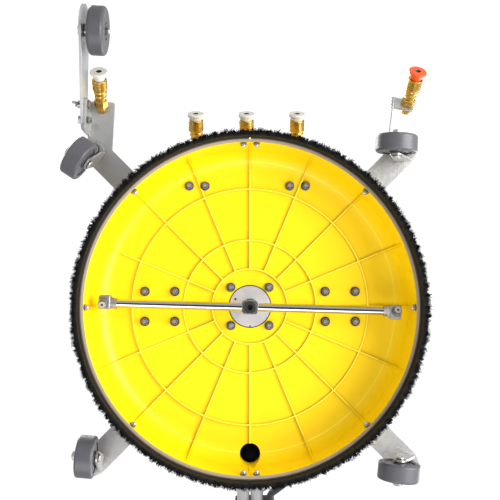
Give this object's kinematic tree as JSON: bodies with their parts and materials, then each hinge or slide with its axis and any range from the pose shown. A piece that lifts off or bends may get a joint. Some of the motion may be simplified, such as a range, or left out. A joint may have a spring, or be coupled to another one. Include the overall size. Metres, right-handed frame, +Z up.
{
  "type": "surface cleaner",
  "caption": "Walk-behind rotary pressure surface cleaner: round yellow deck with brush skirt, swivel casters, spinning spray bar, quick-coupler front nozzles and tilting handle.",
  "frame": {"origin": "middle of the footprint on the floor under the casters", "axes": "+Z up, -Y forwards towards the spray nozzles, +Y towards the operator, +X to the operator's left-hand side as seen from behind the handle"},
  "size_m": [0.576, 1.1816, 0.9112],
  "materials": {
    "yellow": "moulded, glossy",
    "black_plastic": "moulded, matt",
    "bristle": "nylon bristles",
    "black_rubber": "ribbed rubber hose",
    "grip_rubber": "moulded grip",
    "grey_tyre": "solid grey rubber",
    "silver_paint": "light grey, satin",
    "zinc": "bright zinc plated",
    "aluminium": "turned",
    "chrome": "polished",
    "steel": "satin stainless",
    "brass": "machined",
    "white_plastic": "moulded",
    "red_plastic": "moulded, orange-red",
    "dark_steel": "dark",
    "grey_plastic": "moulded"
  },
  "bodies": {
    "deck": {"deck_shell": "yellow", "skirt_holders": "black_plastic", "skirt_bristles": "bristle", "skirt_bands": "steel", "skirt_fasteners": "zinc", "caster_frame": "silver_paint", "caster_kingpins": "zinc", "swivel_housing": "aluminium", "swivel_cap": "aluminium", "swivel_bearings": "chrome", "swivel_seal": "black_rubber", "frame_bolts": "zinc", "frame_nuts": "zinc", "inlet_tee": "steel", "ball_valve": "steel", "feed_pipe": "steel", "manifold": "steel", "coupler_bodies": "brass", "guide_bracket": "silver_paint", "strap_bracket": "silver_paint", "guide_fasteners": "zinc", "suction_elbow": "black_plastic", "handle_brackets": "silver_paint", "nozzle_red": "red_plastic", "nozzles_white": "white_plastic", "free_hose": "black_rubber"},
    "rotor": {"rotor_shaft": "steel", "rotor_hub": "steel", "hub_plug": "dark_steel", "spray_tubes": "chrome", "spray_elbows": "steel", "jet_tips": "steel"},
    "guide_arm": {"guide_arm": "silver_paint", "guide_axle": "zinc"},
    "guide_wheel": {"guide_wheel": "grey_tyre"},
    "valve_lever": {"valve_lever": "red_plastic"},
    "handle": {"handle_tubes": "silver_paint", "crossbar": "silver_paint", "grips": "grip_rubber", "handle_clamps": "black_plastic", "trigger_gun": "grey_plastic", "handle_hose": "black_rubber"},
    "trigger": {"trigger": "black_plastic"},
    "caster_front_left": {"fork_front_left": "zinc", "axle_front_left": "zinc"},
    "wheel_front_left": {"wheel_front_left": "grey_tyre"},
    "caster_front_right": {"fork_front_right": "zinc", "axle_front_right": "zinc"},
    "wheel_front_right": {"wheel_front_right": "grey_tyre"},
    "caster_rear_left": {"fork_rear_left": "zinc", "axle_rear_left": "zinc"},
    "wheel_rear_left": {"wheel_rear_left": "grey_tyre"},
    "caster_rear_right": {"fork_rear_right": "zinc", "axle_rear_right": "zinc"},
    "wheel_rear_right": {"wheel_rear_right": "grey_tyre"},
    "sleeve_left": {"sleeve_left": "brass"},
    "sleeve_middle": {"sleeve_middle": "brass"},
    "sleeve_right": {"sleeve_right": "brass"},
    "sleeve_corner_left": {"sleeve_corner_left": "brass"},
    "sleeve_corner_right": {"sleeve_corner_right": "brass"}
  },
  "joints": [
    {"name": "rotor_spin", "type": "hinge", "parent": "deck", "child": "rotor", "pos_m": [0, -0.14902, 0.054], "axis": [0, 0, 1], "continuous": true},
    {"name": "swivel_front_left", "type": "hinge", "parent": "deck", "child": "caster_front_left", "pos_m": [-0.234, -0.38302, 0.0743], "axis": [0, 0, 1], "continuous": true},
    {"name": "roll_front_left", "type": "hinge", "parent": "caster_front_left", "child": "wheel_front_left", "pos_m": [-0.24653, -0.36373, 0.03], "axis": [-0.8387, -0.5446, 0], "continuous": true},
    {"name": "swivel_front_right", "type": "hinge", "parent": "deck", "child": "caster_front_right", "pos_m": [0.234, -0.38302, 0.0743], "axis": [0, 0, 1], "continuous": true},
    {"name": "roll_front_right", "type": "hinge", "parent": "caster_front_right", "child": "wheel_front_right", "pos_m": [0.21102, -0.38406, 0.03], "axis": [0.0454, -0.999, 0], "continuous": true},
    {"name": "swivel_rear_left", "type": "hinge", "parent": "deck", "child": "caster_rear_left", "pos_m": [-0.234, 0.08498, 0.0743], "axis": [0, 0, 1], "continuous": true},
    {"name": "roll_rear_left", "type": "hinge", "parent": "caster_rear_left", "child": "wheel_rear_left", "pos_m": [-0.232, 0.06207, 0.03], "axis": [0.9962, 0.0872, 0], "continuous": true},
    {"name": "swivel_rear_right", "type": "hinge", "parent": "deck", "child": "caster_rear_right", "pos_m": [0.234, 0.08498, 0.0743], "axis": [0, 0, 1], "continuous": true},
    {"name": "roll_rear_right", "type": "hinge", "parent": "caster_rear_right", "child": "wheel_rear_right", "pos_m": [0.21113, 0.08258, 0.03], "axis": [0.1045, -0.9945, 0], "continuous": true},
    {"name": "guide_arm_tilt", "type": "hinge", "parent": "deck", "child": "guide_arm", "pos_m": [-0.24622, -0.42872, 0.082], "axis": [-0.9986, -0.0523, 0], "range_deg": [0, 30]},
    {"name": "guide_wheel_roll", "type": "hinge", "parent": "guide_arm", "child": "guide_wheel", "pos_m": [-0.22101, -0.55057, 0.036], "axis": [0.9986, 0.0523, 0], "continuous": true},
    {"name": "valve_turn", "type": "hinge", "parent": "deck", "child": "valve_lever", "pos_m": [0, -0.19202, 0.21], "axis": [0, 0, 1], "range_deg": [0, 90]},
    {"name": "sleeve_slide_left", "type": "slide", "parent": "deck", "child": "sleeve_left", "axis": [0, 0.8829, 0.4695], "range_m": [0, 0.004], "stiffness_N_per_m": 800, "springref_m": -0.003},
    {"name": "sleeve_slide_middle", "type": "slide", "parent": "deck", "child": "sleeve_middle", "axis": [0, 0.8829, 0.4695], "range_m": [0, 0.004], "stiffness_N_per_m": 800, "springref_m": -0.003},
    {"name": "sleeve_slide_right", "type": "slide", "parent": "deck", "child": "sleeve_right", "axis": [0, 0.8829, 0.4695], "range_m": [0, 0.004], "stiffness_N_per_m": 800, "springref_m": -0.003},
    {"name": "sleeve_slide_corner_left", "type": "slide", "parent": "deck", "child": "sleeve_corner_left", "axis": [-0.0523, 0.7295, 0.682], "range_m": [0, 0.004], "stiffness_N_per_m": 800, "springref_m": -0.003},
    {"name": "sleeve_slide_corner_right", "type": "slide", "parent": "deck", "child": "sleeve_corner_right", "axis": [-0.1434, 0.6924, 0.7071], "range_m": [0, 0.004], "stiffness_N_per_m": 800, "springref_m": -0.003},
    {"name": "handle_tilt", "type": "hinge", "parent": "deck", "child": "handle", "pos_m": [0, -0.14902, 0.131], "axis": [1, 0, 0], "range_deg": [-30, 43], "deforming": ["free_hose"]},
    {"name": "trigger_squeeze", "type": "hinge", "parent": "handle", "child": "trigger", "pos_m": [0.148, 0.53366, 0.86308], "axis": [0, -0.7314, 0.682], "range_deg": [0, 9], "stiffness_Nm_per_rad": 0.5, "springref_deg": -11.46}
  ]
}
